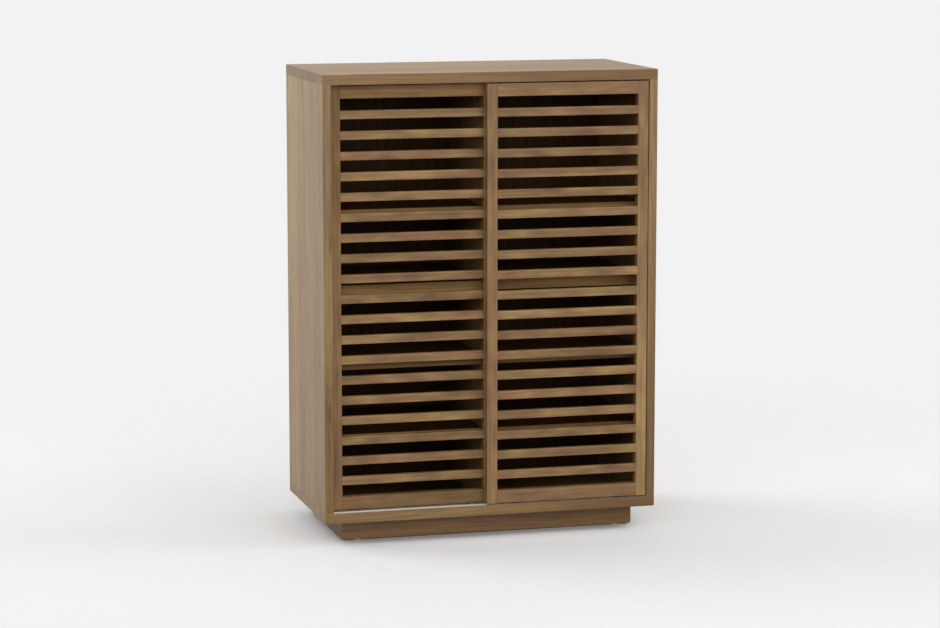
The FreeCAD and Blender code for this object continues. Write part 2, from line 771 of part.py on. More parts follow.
def door(side, x, y):
    """One sliding door with its frame, slats, rollers and guides."""
    name = f"{side}_door"
    right_stile = x + door_width - size.stile_width
    bodies = [
        door_stile(f"{name}_left_stile", x, y, True),
        door_stile(f"{name}_right_stile", right_stile, y, False),
        top_rail(f"{name}_top_rail", x, y),
        bottom_rail(f"{name}_bottom_rail", x, y),
        door_slats(f"{name}_slats", x, y),
    ]
    middle = y + size.door_thickness / 2
    for end, along in roller_places.items():
        place = x + size.stile_width + along
        bodies.append(roller_housing(f"{name}_{end}_roller_housing", place, middle))
        bodies.append(roller_axle(f"{name}_{end}_axle", place, middle))
        bodies.append(roller(f"{name}_{end}_roller", place, middle))
        bodies.append(top_guide(f"{name}_{end}_top_guide", place, middle))
    return bodies


def doors():
    """The closed pair: the left door on the rear track, the right door on the front track."""
    left = inner_left + size.door_side_gap
    right = inner_left + inner_width - size.door_side_gap - door_width
    return door("left", left, rear_door_front) + door("right", right, front_door_front)


def check(pieces):
    """Stops if a feature failed, a sketch is loose, a cut missed or a shape is broken."""
    for item in doc.Objects:
        if "Invalid" in item.State or "Error" in item.State:
            raise RuntimeError(f"{item.Name} failed: {item.State}")
        if item.TypeId == "Sketcher::SketchObject" and not item.FullyConstrained:
            raise RuntimeError(f"{item.Name} is not fully constrained")
        if item.TypeId == "PartDesign::Pocket":
            if item.BaseFeature.Shape.Volume - item.Shape.Volume < 1:
                raise RuntimeError(f"{item.Name} cuts nothing")
    for piece in pieces:
        if piece.Shape.isNull() or not piece.Shape.isValid():
            raise RuntimeError(f"{piece.Label} has no valid shape")


def main():
    """Builds every piece, checks it and writes one file for each."""
    pieces = [
        top_panel(),
        bottom_panel(),
        side_panel("left", case_left, True),
        side_panel("right", inner_left + inner_width, False),
        centre_partition(),
        back_panel(),
        *shelves(),
        *plinth(),
        *glides(),
        *channels(),
        *doors(),
    ]
    doc.recompute()
    check(pieces)
    os.makedirs("parts", exist_ok=True)
    for piece in pieces:
        piece.Shape.exportStep(f"parts/{piece.Label}.step")


main()
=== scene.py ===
"""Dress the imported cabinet: oiled wood on its boards, finished fittings, new screws, rollers and
floor glides, and the studio that it stands in."""
import math

import bmesh
import bpy
import numpy as np
from bpy.props import FloatProperty, FloatVectorProperty, IntProperty, PointerProperty
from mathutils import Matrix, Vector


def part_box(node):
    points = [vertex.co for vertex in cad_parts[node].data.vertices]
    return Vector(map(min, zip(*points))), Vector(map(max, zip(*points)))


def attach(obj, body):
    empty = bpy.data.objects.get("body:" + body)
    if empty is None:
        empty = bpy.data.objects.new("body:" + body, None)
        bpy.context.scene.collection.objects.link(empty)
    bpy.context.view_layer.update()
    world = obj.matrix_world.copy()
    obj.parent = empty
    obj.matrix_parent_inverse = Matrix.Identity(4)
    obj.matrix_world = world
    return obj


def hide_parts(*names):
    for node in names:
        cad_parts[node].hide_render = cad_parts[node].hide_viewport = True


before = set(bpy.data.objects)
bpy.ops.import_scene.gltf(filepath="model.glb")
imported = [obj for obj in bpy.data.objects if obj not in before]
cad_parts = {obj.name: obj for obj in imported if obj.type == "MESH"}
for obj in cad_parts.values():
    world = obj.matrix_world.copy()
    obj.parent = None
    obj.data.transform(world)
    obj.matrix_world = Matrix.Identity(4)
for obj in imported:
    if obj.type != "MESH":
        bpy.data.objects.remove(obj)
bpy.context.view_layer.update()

bl_info = {
    "name": "Slatted cabinet",
    "version": (1, 0, 0),
    "blender": (4, 5, 0),
    "location": "View3D > Sidebar > Cabinet",
    "description": "Finishes the boards, doors and fittings of a slatted cabinet",
    "category": "Object",
}


def linear(code):
    """Turn an sRGB hex colour into linear red, green and blue."""
    parts = [int(code[i:i + 2], 16) / 255 for i in (1, 3, 5)]
    return tuple(c / 12.92 if c <= 0.04045 else ((c + 0.055) / 1.055) ** 2.4 for c in parts)


MM = 0.001
DOORS = ("left_door", "right_door")
SIDES = ("left", "right")

SHARP_EDGE = math.radians(38)  # a bend that is shaded as an edge
SLAT_COUNT = 19
SLAT_HEIGHT = 20.0 * MM
TOP_STAVE_CUT = 20.0 * MM  # what the front stave has lost, on top and bottom
SIDE_STAVE_CUT = 60.0 * MM  # the same on the sides
VENEER_LEAF = 190.0 * MM  # width of one leaf of the back's veneer
CHANNEL_WALL = 1.0 * MM  # floor of a floor channel, which its screws go through
CHANNEL_SCREW_INSET = 30.0 * MM  # from a channel's end to its first screw
SCREW_STAND = 0.12 * MM  # how far a screw head stands out

# Places where a board's colour is multiplied by a tint: middle, reach, tint and strength, in the
# part's own frame. A tint is what the colour is multiplied with; above 1 it makes a paler place.
# A few are flecks and tones of the wood; most are painted light and shade.
FLECK = (0.55, 0.38, 0.26)  # tint of a small dark fleck in the grain
# On the sides two small dark flecks in the grain, and then painted light and shade: a painted
# sheen that makes the left side paler towards the top, painted shade down the left side's front
# edge and low on both front edges, a painted highlight high on the right side's front edge, and
# painted shade on the inside face of the right side.
SIDE_FLECKS_AND_PAINTED_LIGHT = (((-0.384, -0.2, 0.70), (0.0035, 0.01, 0.034), FLECK, 0.8),
              ((-0.388, -0.2, 0.31), (0.0035, 0.01, 0.040), FLECK, 0.8),
              ((-0.40, 0.0, 1.05), (0.25, 0.7, 0.95), (1.23, 1.34, 1.42), 1.0),
              ((-0.388, -0.2, 0.90), (0.08, 0.03, 0.42), (0.78, 0.72, 0.82), 1.0),
              ((-0.388, -0.2, 0.16), (0.08, 0.03, 0.40), (0.71, 0.64, 0.57), 1.0),
              ((0.388, -0.2, 0.86), (0.08, 0.03, 0.48), (1.08, 1.10, 1.24), 1.0),
              ((0.388, -0.2, 0.16), (0.08, 0.03, 0.40), (0.66, 0.60, 0.59), 1.0),
              ((0.376, 0.05, 0.5), (0.014, 0.30, 0.80), (0.45, 0.42, 0.38), 1.0))
# On the top and the bottom, all painted light and shade: painted shade on the bottom board inside
# the cabinet, a little on the right of the top, on the right of both front edges and a little on
# the left of the top's front edge, and a painted highlight in the middle of the bottom's front
# edge.
CASE_PAINTED_LIGHT = (((0.0, 0.05, 0.076), (0.6, 0.24, 0.012), (0.25, 0.22, 0.18), 1.0),
              ((0.36, 0.05, 1.09), (0.55, 0.45, 0.012), (0.88, 0.89, 0.93), 1.0),
              ((0.28, -0.2, 1.076), (0.40, 0.03, 0.06), (0.64, 0.62, 0.54), 1.0),
              ((-0.15, -0.2, 1.076), (0.55, 0.03, 0.06), (0.93, 0.96, 0.95), 1.0),
              ((0.05, -0.2, 0.062), (0.30, 0.03, 0.06), (1.08, 1.10, 1.12), 1.0),
              ((0.32, -0.2, 0.062), (0.36, 0.03, 0.06), (0.70, 0.65, 0.57), 1.0))
# On the stiles: a painted highlight, pale and grey, down the right door's outer stile; the top of
# the left door's outer stile darker and more olive; and a little painted shade down the right
# door's inner stile.
STILE_TONE_AND_PAINTED_LIGHT = (((0.37, -0.2, 0.36), (0.04, 0.02, 0.66), (1.28, 1.38, 1.46), 1.0),
               ((-0.37, -0.17, 0.95), (0.06, 0.02, 0.35), (0.80, 0.74, 0.47), 1.0),
               ((0.0, -0.2, 0.65), (0.04, 0.02, 0.75), (0.90, 0.90, 0.94), 1.0))
# Painted shade on the partition, darker towards the back of the cabinet.
PARTITION_PAINTED_SHADE = (((0.0, 0.19, 0.57), (0.05, 0.29, 1.60), (0.36, 0.34, 0.30), 1.0),)
# Painted shade on the outside face of the left plinth board, under the overhang of the case.
PLINTH_SIDE_PAINTED_SHADE = (((-0.354, 0.0, 0.027), (0.03, 0.60, 0.20), (0.50, 0.42, 0.34), 1.0),)
# The right end of the plinth's front board is more golden.
PLINTH_FRONT_MARKS = (((0.33, -0.16, 0.027), (0.26, 0.04, 0.20), (0.94, 0.93, 0.62), 1.0),)
# On the rails: painted light on the top rails of both doors, against the shade under the top
# board, more golden as well on the left door, and painted shade on the left door's bottom rail.
RAIL_TONE_AND_PAINTED_LIGHT = (((0.18, -0.2, 1.046), (0.40, 0.02, 0.06), (1.11, 1.09, 1.10), 1.0),
              ((-0.18, -0.1735, 1.046), (0.45, 0.01, 0.06), (1.12, 1.04, 0.76), 1.0),
              ((-0.18, -0.1735, 0.092), (0.45, 0.01, 0.06), (0.80, 0.80, 0.72), 1.0))

# The camera that took the photograph, from the corners of the case: place in metres, heading to
# the right of +Y and dip below the level in degrees.
CAMERA_PLACE = (-1.8445, -6.7081, 1.5325)
CAMERA_HEADING = 15.38
CAMERA_DIP = 8.459

# The floor lets the backdrop through: the share in its middle, and where, as shares of its
# radius, it starts to let through more and lets through all.
FLOOR_CLEAR = 0.42
FLOOR_FADE_FROM = 0.3
FLOOR_FADE_TO = 0.96
# Places where it lets through less or more, so its shadow is deeper beside the plinth and lighter
# before it: middle, reach and what the share gains.
FLOOR_MARKS = (((-0.38, 0.02, 0.0), (0.12, 0.34, 1.0), -0.28),
               ((0.02, -0.23, 0.0), (0.50, 0.07, 1.0), 0.14))

# The soft boxes of the studio: name, place in metres, side in metres and power in watts. Those
# in HIDDEN_LAMPS leave no gleam on the wood.
HIDDEN_LAMPS = ("behind", "below")
LAMPS = (("left_back", (-3.5, 2.2, 3.0), 2.6, 102.0),
         ("front_left", (-1.9, -3.9, 2.55), 2.4, 40.0),
         ("front_right", (1.5, -3.9, 2.55), 2.4, 41.0),
         ("right", (3.2, -0.6, 3.0), 2.4, 52.0),
         ("behind", (0.5, 4.2, 2.2), 2.6, 15.0),
         ("below", (0.0, 0.0, -2.2), 1.6, 25.0))


def colour(name, about, code):
    """Describe one colour that a user may change."""
    return FloatVectorProperty(name=name, description=about, subtype="COLOR", size=3,
                               min=0.0, max=1.0, default=linear(code))


def length(name, about, size):
    """Describe one length, in metres, that a user may change."""
    return FloatProperty(name=name, description=about, subtype="DISTANCE", unit="LENGTH",
                         min=0.0, default=size)


class CabinetWood(bpy.types.PropertyGroup):
    """Colours and grain of the oiled wood, and the painted shade inside the cabinet."""
    pale: colour("Pale grain", "Early wood, the lightest streaks", "#b28e59")
    middle: colour("Middle grain", "The wood between the streaks", "#906e46")
    dark: colour("Dark grain", "Late wood and the darkest streaks", "#6d4f30")
    gold: colour("Golden patch", "Patches that lean to yellow", "#907645")
    rosy: colour("Rosy patch", "Patches that lean to red", "#906647")
    # Painted shade: the inside tone darkens the faces of the shelves and the back that look into
    # the cabinet.
    inner: colour("Painted inside shade", "Painted shade on the inward faces of shelves and back, multiplied in", "#8a7c64")
    plinth: colour("Plinth tone", "What the plinth boards are multiplied with", "#dfd9d2")
    ring_width: length("Ring width", "Mean width of one growth ring on a face", 7.0 * MM)
    streak_width: length("Streak width", "Width of one soft streak", 6.0 * MM)
    streak_length: length("Streak length", "Length of one soft streak", 260.0 * MM)
    patch_length: length("Patch length", "Length of a golden or rosy patch", 75.0 * MM)
    fibre_width: length("Fibre width", "Width of a fibre bundle, drawn twice as coarse", 1.4 * MM)
    pore_length: length("Pore length", "Length of one open pore", 7.0 * MM)
    stave_width: length("Stave width", "Mean width of the staves that a board is glued from",
                        85.0 * MM)


class CabinetFittings(bpy.types.PropertyGroup):
    """Colours and sizes of the metal and plastic fittings."""
    aluminium: colour("Aluminium", "Pale coat of the aluminium floor channels", "#e4e0d8")
    steel: colour("Steel", "Zinc plated steel of screws and axles", "#a9a7a2")
    nylon: colour("Nylon", "Moulded nylon of rollers and guides", "#2e2620")
    glide: colour("Glide", "Moulded nylon of the floor glides", "#c4c2bc")
    dark_plastic: colour("Dark plastic", "ABS of housings and top channels", "#33271d")
    housing_screw: length("Housing screw", "Diameter of the heads on a roller housing", 4.6 * MM)
    screw_inset: length("Screw inset", "From the end of a housing's flange to a screw", 3.2 * MM)
    block_inset: length("Block screw inset", "From both sides of a corner block to its screw",
                        11.0 * MM)
    axle_bore: length("Axle bore", "Bore of a roller", 4.1 * MM)
    channel_screw: length("Channel screw", "Diameter of the heads in the channels", 4.2 * MM)
    channel_screws: IntProperty(name="Channel screws", description="Screws in one floor channel",
                                min=2, default=6)


class CabinetStage(bpy.types.PropertyGroup):
    """The studio: floor, backdrop, lamps and camera."""
    floor: colour("Floor", "Pale studio floor", "#eaeaea")
    floor_bounce: colour("Floor bounce", "What the floor throws back at the cabinet", "#b0b0b0")
    backdrop: colour("Backdrop", "What shows beyond the floor", "#f2f2f2")
    sky: FloatProperty(name="Sky", description="Light from all sides above the floor",
                       min=0.0, default=0.55)
    floor_radius: length("Floor radius", "Radius of the floor disc", 2.5)
    lens: FloatProperty(name="Lens", description="Focal length", subtype="DISTANCE_CAMERA",
                        unit="CAMERA", default=112.82)


# ---------------------------------------------------------------- meshes

def place_mesh(name, points, rows_meet=False):
    """Build one closed mesh from a stack of grids.

    points has the axes copy, row, column and xyz. The columns go round and meet. The rows meet
    too where rows_meet is set, and otherwise the first and the last row are poles, each a ring
    of equal points that is merged into one."""
    copies, rows, columns, _ = points.shape
    index = np.arange(copies * rows * columns).reshape(copies, rows, columns)
    below = np.roll(index, -1, axis=1)
    if not rows_meet:
        index, below = index[:, :-1], below[:, :-1]
    quads = np.stack((index, np.roll(index, -1, axis=2), np.roll(below, -1, axis=2), below), -1)
    quads = quads.reshape(-1, 4)
    mesh = bpy.data.meshes.new(name)
    mesh.vertices.add(points.size // 3)
    mesh.vertices.foreach_set("co", points.ravel())
    mesh.loops.add(quads.size)
    mesh.loops.foreach_set("vertex_index", quads.ravel())
    mesh.polygons.add(len(quads))
    mesh.polygons.foreach_set("loop_start", np.arange(0, quads.size, 4))
    mesh.update(calc_edges=True)
    shape = bmesh.new()
    shape.from_mesh(mesh)
    bmesh.ops.remove_doubles(shape, verts=shape.verts, dist=1e-7)
    bmesh.ops.recalc_face_normals(shape, faces=shape.faces)
    shape.to_mesh(mesh)
    shape.free()
    mesh.shade_smooth()
    mesh.set_sharp_from_angle(angle=SHARP_EDGE)
    return mesh


def add_piece(name, points, body, material, rows_meet=False):
    """Put a finished mesh into the scene, on its body and with its material."""
    piece = bpy.data.objects.new(name, place_mesh(name, points, rows_meet))
    bpy.context.scene.collection.objects.link(piece)
    piece.data.materials.append(material)
    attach(piece, body)
    return piece


def turned(profile, columns):
    """Turn a profile of (radius, height) rows round the z axis: x = r cos a, y = r sin a, z = h.

    Returns a grid with the axes row, column and xyz."""
    radius, height = np.asarray(profile, float).T
    angle = np.arange(columns) * (2 * math.pi / columns)
    return np.stack((np.outer(radius, np.cos(angle)), np.outer(radius, np.sin(angle)),
                     np.repeat(height[:, None], columns, 1)), -1)


def stand_on(grid, places, up):
    """Copy a grid to every place, with its z axis turned to up and its x axis kept level."""
    up = np.asarray(up, float)
    side = np.cross((0, 1, 0) if abs(up[1]) < 0.9 else (1, 0, 0), up)
    side /= np.linalg.norm(side)
    turn = np.stack((side, np.cross(up, side), up))
    return (grid @ turn)[None] + np.asarray(places, float)[:, None, None, :]


def screw_head(diameter, stand):
    """A countersunk head with a crossed recess.

    The height over the plate is a flat dome, stand (0.35 + 0.65 (1 - t^2)), at t = r / R. The
    recess takes away a smooth step of the distance to the nearer of two crossed bars. Below the
    rim the profile runs inward on a cone to a pole."""
    edge, columns = diameter / 2, 40
    bar_half, bar_reach, bar_depth, slope = 0.11, 0.52, 0.32, 0.1
    t = np.concatenate((np.linspace(0, 0.62, 9), np.linspace(0.7, 1, 5)))
    top = turned(np.stack((t * edge, stand * (0.35 + 0.65 * (1 - t ** 2))), -1), columns)
    x, y = np.abs(top[..., 0]) / edge, np.abs(top[..., 1]) / edge
    across = np.clip((bar_half - np.minimum(x, y)) / slope + 0.5, 0, 1)
    along = np.clip((bar_reach - np.maximum(x, y)) / slope + 0.5, 0, 1)
    top[..., 2] -= bar_depth * edge * across * along
    under = turned([(edge, -0.1 * edge), (0.55 * edge, -0.6 * edge), (0, -0.6 * edge)], columns)
    return np.concatenate((top, under))


def roller(radius, bore, width):
    """A moulded wheel: a hub, a thinner web with six ribs on both faces and a rounded tread.

    One half of the profile runs from the bore over the hub, down to the web, up to the rim and
    round a quarter circle to the tread; the other half is its mirror. The web is pushed out
    towards the faces where cos 6a is near 1, and that makes the ribs."""
    half, soft = width / 2, 0.18 * width
    ribs, columns = 6, 96
    bend = np.linspace(0, math.pi / 2, 6)
    face = [(bore, half), (0.34 * radius, half), (0.36 * radius, 0.9 * half),
            (0.38 * radius, 0.5 * half), (0.75 * radius, 0.5 * half), (0.77 * radius, 0.9 * half),
            (0.79 * radius, half)]
    tread = np.stack((radius - soft + soft * np.sin(bend), half - soft + soft * np.cos(bend)), -1)
    side = np.concatenate((face, tread))
    grid = turned(np.concatenate((side, side[::-1] * (1, -1))), columns)
    rib = np.cos(ribs * np.arange(columns) * 2 * math.pi / columns)
    rib = np.clip((rib - 0.55) / 0.25, 0, 1)
    web = np.abs(grid[..., 2]) < 0.6 * half
    web &= np.hypot(grid[..., 0], grid[..., 1]) < 0.8 * radius
    grid[..., 2] *= 1 + 0.7 * rib * web
    return grid


def glide_pad(radius, height):
    """A floor glide: a smooth foot with a gate mark, a rounded rim and a thin glue pad on top.

    The profile runs from the pole in the middle of the foot out to the flat, round a quarter
    circle to the side, in and out again where the pad starts, and back to the pole on top."""
    soft = 0.25 * radius
    bend = np.linspace(0, math.pi / 2, 8)
    rim = np.stack((radius - soft + soft * np.sin(bend), soft - soft * np.cos(bend)), -1)
    foot = [(0, 0.06 * height), (0.14 * radius, 0.06 * height), (0.18 * radius, 0),
            (0.5 * radius, 0)]
    top = [(radius, 0.72 * height), (0.95 * radius, 0.77 * height), (0.96 * radius, 0.8 * height),
           (0.96 * radius, height), (0.5 * radius, height), (0, height)]
    return turned(np.concatenate((foot, rim, top)), 64)


# ------------------------------------------------------------- materials

def put(tree, kind, inputs=(), **fields):
    """Add one shader node, set its fields, and set or link its input sockets."""
    made = tree.nodes.new("ShaderNode" + kind)
    for field, value in fields.items():
        setattr(made, field, value)
    for key, value in dict(inputs).items():
        if isinstance(value, bpy.types.NodeSocket):
            tree.links.new(value, made.inputs[key])
        else:
            made.inputs[key].default_value = value
    return made


def new_material(name):
    """Start an empty material and return it with its node tree."""
    material = bpy.data.materials.new(name)
    material.use_nodes = True
    material.node_tree.nodes.clear()
    return material, material.node_tree


def close_material(tree, sockets):
    """End a tree in a Principled BSDF with the given sockets."""
    shader = put(tree, "BsdfPrincipled", sockets)
    put(tree, "OutputMaterial", {"Surface": shader.outputs[0]})


def rgba(value):
    """Give a colour its fourth number."""
    return (*value[:3], 1.0)


def soft_place(tree, place, middle, reach, strength):
    """Give a value that is strength in the core of an ellipsoid and fades to 0 at its reach."""
    core = 0.2  # size of the core as a share of the reach
    away = put(tree, "VectorMath", {0: place, 1: middle}, operation="SUBTRACT")
    away = put(tree, "VectorMath", {0: away.outputs[0], 1: [1 / part for part in reach]},
               operation="MULTIPLY")
    away = put(tree, "VectorMath", {0: away.outputs[0]}, operation="LENGTH").outputs["Value"]
    return put(tree, "MapRange", {"Value": away, "From Min": core, "From Max": 1.0,
                                  "To Min": strength, "To Max": 0.0},
               interpolation_type="SMOOTHSTEP").outputs[0]


def stave_lot(tree, axes, split, seed):
    """Give three random numbers that belong to one board, and to one stave or slat of it alone.

    split is None or (axis, first edge, width) of the staves."""
    which = 0.0
    if split:
        axis, edge, width = split
        turn = put(tree, "Math", {0: axes["xyz".index(axis)], 1: edge}, operation="SUBTRACT")
        turn = put(tree, "Math", {0: turn.outputs[0], 1: width}, operation="DIVIDE")
        which = put(tree, "Math", {0: turn.outputs[0]}, operation="FLOOR").outputs[0]
    own = put(tree, "ObjectInfo").outputs["Random"]
    key = put(tree, "CombineXYZ", {0: which, 1: own, 2: seed})
    lot = put(tree, "TexWhiteNoise", {"Vector": key.outputs[0]}, noise_dimensions="3D")
    return put(tree, "SeparateColor", {0: lot.outputs["Color"]}).outputs


def grain_space(tree, axes, grain, lot):
    """Give the place in the trunk: x along the fibres, moved by the lot so that none repeat.

    It is bent aside by up to half of bend_reach, in waves of about 1 / bend_waves metres."""
    shift_along, shift_aside = 9.0, 3.0
    bend_waves, bend_reach = (2.2, 9.0, 9.0), (0.0, 0.018, 0.018)
    order = {"x": (0, 1, 2), "y": (1, 0, 2), "z": (2, 0, 1)}[grain]
    along = put(tree, "Math", {0: lot[0], 1: shift_along, 2: axes[order[0]]},
                operation="MULTIPLY_ADD")
    aside = put(tree, "Math", {0: lot[1], 1: shift_aside, 2: axes[order[1]]},
                operation="MULTIPLY_ADD")
    fibre = put(tree, "CombineXYZ",
                {0: along.outputs[0], 1: aside.outputs[0], 2: axes[order[2]]}).outputs[0]
    bend = put(tree, "VectorMath", {0: fibre, 1: bend_waves}, operation="MULTIPLY").outputs[0]
    bend = put(tree, "TexNoise", {"Vector": bend, "Scale": 1.0, "Detail": 1.0}).outputs["Color"]
    bend = put(tree, "VectorMath", {0: bend, 1: (0.5, 0.5, 0.5)}, operation="SUBTRACT").outputs[0]
    return put(tree, "VectorMath", {0: bend, 1: bend_reach, 2: fibre},
               operation="MULTIPLY_ADD").outputs[0]


def oiled_wood(name, grain, split=None, tone=None, seed=0.0, lively=0.75, marks_and_painted_light=(),
               figure=0.25, dull=False, bare=0.0):
    """Oiled hardwood, planed and sanded, with the grain along x, y or z.

    The eye gets soft streaks and growth rings that run the whole board, a tone of its own for
    every stave or slat, short dark pores, and a satin sheen that turns pale at low angles. The
    rings are contour lines of a stretched noise, as a plane cuts a trunk that isn't quite
    straight. split is as in stave_lot. Faces that look forward, with bare -1, or backward, with
    bare 1, keep the colour of the wood under a tone; the shelves and the back take their tone as
    painted shade on the faces that look into the cabinet. lively scales all differences of tone,
    figure is how much the patches count, and dull takes most of the oil's sheen away."""
    wood = bpy.context.scene.cabinet_wood
    material, tree = new_material(name)
    place = put(tree, "TexCoord").outputs["Object"]
    axes = put(tree, "SeparateXYZ", {0: place}).outputs
    lot = stave_lot(tree, axes, split, seed)
    fibre = grain_space(tree, axes, grain, lot)

    def noise(run, across, detail, rough=0.5, socket="Fac"):
        scaled = put(tree, "VectorMath", {0: fibre, 1: (1 / run, 1 / across, 1 / across)},
                     operation="MULTIPLY")
        return put(tree, "TexNoise", {"Vector": scaled.outputs[0], "Scale": 1.0,
                                      "Detail": detail, "Roughness": rough}).outputs[socket]

    # Sources of tone, from the trunk's rings, metres long, down to single pores.
    trunk_run, trunk_across, rings_in_trunk = 1.1, 0.075, 2.4
    pore_from, pore_full = 0.64, 0.74
    streak = noise(wood.streak_length, wood.streak_width, 3.0, 0.55)
    fine = noise(wood.streak_length / 3, wood.fibre_width, 2.0)
    cast = noise(wood.streak_length * 1.6, wood.streak_width * 5, 1.0)
    patch = noise(wood.patch_length, wood.patch_length / 3, 1.5, socket="Color")
    patch = put(tree, "SeparateColor", {0: patch}).outputs
    trunk = noise(trunk_run, trunk_across, 1.0, 0.3)
    turns = 2 * math.pi * trunk_across / wood.ring_width * rings_in_trunk
    ring = put(tree, "Math", {0: trunk, 1: turns}, operation="MULTIPLY")
    ring = put(tree, "Math", {0: ring.outputs[0]}, operation="SINE").outputs[0]
    pore = noise(wood.pore_length, wood.fibre_width * 0.55, 1.0)
    pore = put(tree, "MapRange",
               {"Value": pore, "From Min": pore_from, "From Max": pore_full}).outputs[0]

    # One tone from 0, dark, to 1, pale: 0.5, and from each source its gain times what it has
    # over its middle.
    level = 0.5
    for source, middle, gain in ((streak, 0.5, 1.4), (fine, 0.5, 0.45), (ring, 0.0, 0.07),
                                 (lot[2], 0.5, 0.4), (cast, 0.5, 0.5), (patch[1], 0.5, figure)):
        gain *= lively
        step = put(tree, "Math", {0: source, 1: gain, 2: level}, operation="MULTIPLY_ADD")
        level = put(tree, "Math", {0: step.outputs[0], 1: middle * gain},
                    operation="SUBTRACT").outputs[0]
    shade = put(tree, "ValToRGB", {0: level})
    ramp = shade.color_ramp
    ramp.elements[0].position, ramp.elements[0].color = 0.0, rgba(wood.dark)
    ramp.elements[1].position, ramp.elements[1].color = 1.0, rgba(wood.pale)
    ramp.elements.new(0.5).color = rgba(wood.middle)
    surface = shade.outputs[0]

    # Golden or rosy: by the stave in a plain board, by the patch in a figured one.
    share, lean_half = min(1.0, figure / 2), 0.2
    by_stave, lean_strength = 0.3 - 0.2 * share, 0.3 + 0.4 * share
    lean = put(tree, "Math", {0: patch[0], 1: share, 2: -0.5 * (share + by_stave)},
               operation="MULTIPLY_ADD").outputs[0]
    lean = put(tree, "Math", {0: lot[0], 1: by_stave, 2: lean},
               operation="MULTIPLY_ADD").outputs[0]
    lean = put(tree, "MapRange", {"Value": lean, "From Min": -lean_half, "From Max": lean_half},
               interpolation_type="SMOOTHSTEP").outputs[0]
    rosy, gold = ([part / base for part, base in zip(rgba(hue), rgba(wood.middle))]
                  for hue in (wood.rosy, wood.gold))
    lean = put(tree, "Mix", {0: lean, 6: rosy, 7: gold}, data_type="RGBA").outputs[2]
    surface = put(tree, "Mix", {0: lean_strength, 6: surface, 7: lean},
                  data_type="RGBA", blend_type="MULTIPLY").outputs[2]

    # End grain drinks more oil, so it is darker, and so are the pores.
    end_from, end_full, end_tone, pore_tone = 0.75, 0.95, 0.8, -0.22
    normal = put(tree, "TexCoord").outputs["Normal"]
    normal = put(tree, "SeparateXYZ", {0: normal}).outputs
    facing = put(tree, "Math", {0: normal["xyz".index(grain)]}, operation="ABSOLUTE").outputs[0]
    facing = put(tree, "MapRange", {"Value": facing, "From Min": end_from, "From Max": end_full,
                                    "To Min": 1.0, "To Max": end_tone}).outputs[0]
    dim = put(tree, "Math", {0: pore, 1: pore_tone, 2: facing},
              operation="MULTIPLY_ADD").outputs[0]
    # A tone multiplied in. For the shelves and the back it is painted shade on the faces that look
    # into the cabinet; the faces that look out keep the colour of the wood.
    if tone:
        bare_from = 0.9  # of the normal's share to the front or the back
        away = put(tree, "Math", {0: normal[1], 1: bare}, operation="MULTIPLY").outputs[0]
        away = put(tree, "Math", {0: away, 1: bare_from}, operation="LESS_THAN").outputs[0]
        surface = put(tree, "Mix", {0: away, 6: surface, 7: rgba(tone)},
                      data_type="RGBA", blend_type="MULTIPLY").outputs[2]
    surface = put(tree, "VectorMath", {0: surface, "Scale": dim}, operation="SCALE").outputs[0]

    # Tinted places of the board's own: a few are flecks and tones of the wood, and most are
    # painted light and shade.
    for middle, reach, tint, strength in marks_and_painted_light:
        heart = soft_place(tree, place, middle, reach, strength)
        tint = put(tree, "Mix", {0: 1.0, 6: surface, 7: rgba(tint)},
                   data_type="RGBA", blend_type="MULTIPLY").outputs[2]
        surface = put(tree, "Mix", {0: heart, 6: surface, 7: tint}, data_type="RGBA").outputs[2]

    # Pale fibres stand a little proud and have a little more gloss, and pores are open.
    fibre_rise, pore_depth, relief = 0.4, -0.8, 0.12 * MM
    dullest, gloss_gain, oil_ior = 0.53, -0.16, 1.5
    rise = put(tree, "Math", {0: streak, 1: fibre_rise, 2: fine},
               operation="MULTIPLY_ADD").outputs[0]
    rise = put(tree, "Math", {0: pore, 1: pore_depth, 2: rise},
               operation="MULTIPLY_ADD").outputs[0]
    bump = put(tree, "Bump", {"Height": rise, "Strength": 0.5, "Distance": relief})
    rough = put(tree, "Math", {0: streak, 1: gloss_gain, 2: dullest},
                operation="MULTIPLY_ADD").outputs[0]
    close_material(tree, {"Base Color": surface, "Roughness": rough, "IOR": oil_ior,
                          "Specular IOR Level": 0.12 if dull else 0.5,
                          "Normal": bump.outputs[0]})
    return material


def lined_metal(name, base, rough, axis, line, metallic=1.0):
    """Extruded or drawn metal: fine die lines along one axis, drawn as coarse as they show.

    The eye gets a soft stripe of light along the profile and a faint change of gloss."""
    material, tree = new_material(name)
    place = put(tree, "TexCoord").outputs["Object"]
    line_run = line * 160  # a die line is so much longer than it is wide
    scale = [1 / (line_run if letter == axis else line) for letter in "xyz"]
    place = put(tree, "VectorMath", {0: place, 1: scale}, operation="MULTIPLY").outputs[0]
    lines = put(tree, "TexNoise", {"Vector": place, "Scale": 1.0, "Detail": 3.0}).outputs["Fac"]
    gloss_gain, shade_gain = 0.22, 0.3
    gloss = put(tree, "Math", {0: lines, 1: gloss_gain, 2: rough - gloss_gain / 2},
                operation="MULTIPLY_ADD").outputs[0]
    shade = put(tree, "Math", {0: lines, 1: shade_gain, 2: 1 - shade_gain / 2},
                operation="MULTIPLY_ADD").outputs[0]
    surface = put(tree, "VectorMath", {0: tuple(base[:3]), "Scale": shade},
                  operation="SCALE").outputs[0]
    bump = put(tree, "Bump", {"Height": lines, "Strength": 0.3, "Distance": 0.05 * MM})
    close_material(tree, {"Base Color": surface, "Metallic": metallic, "Roughness": gloss,
                          "Normal": bump.outputs[0]})
    return material


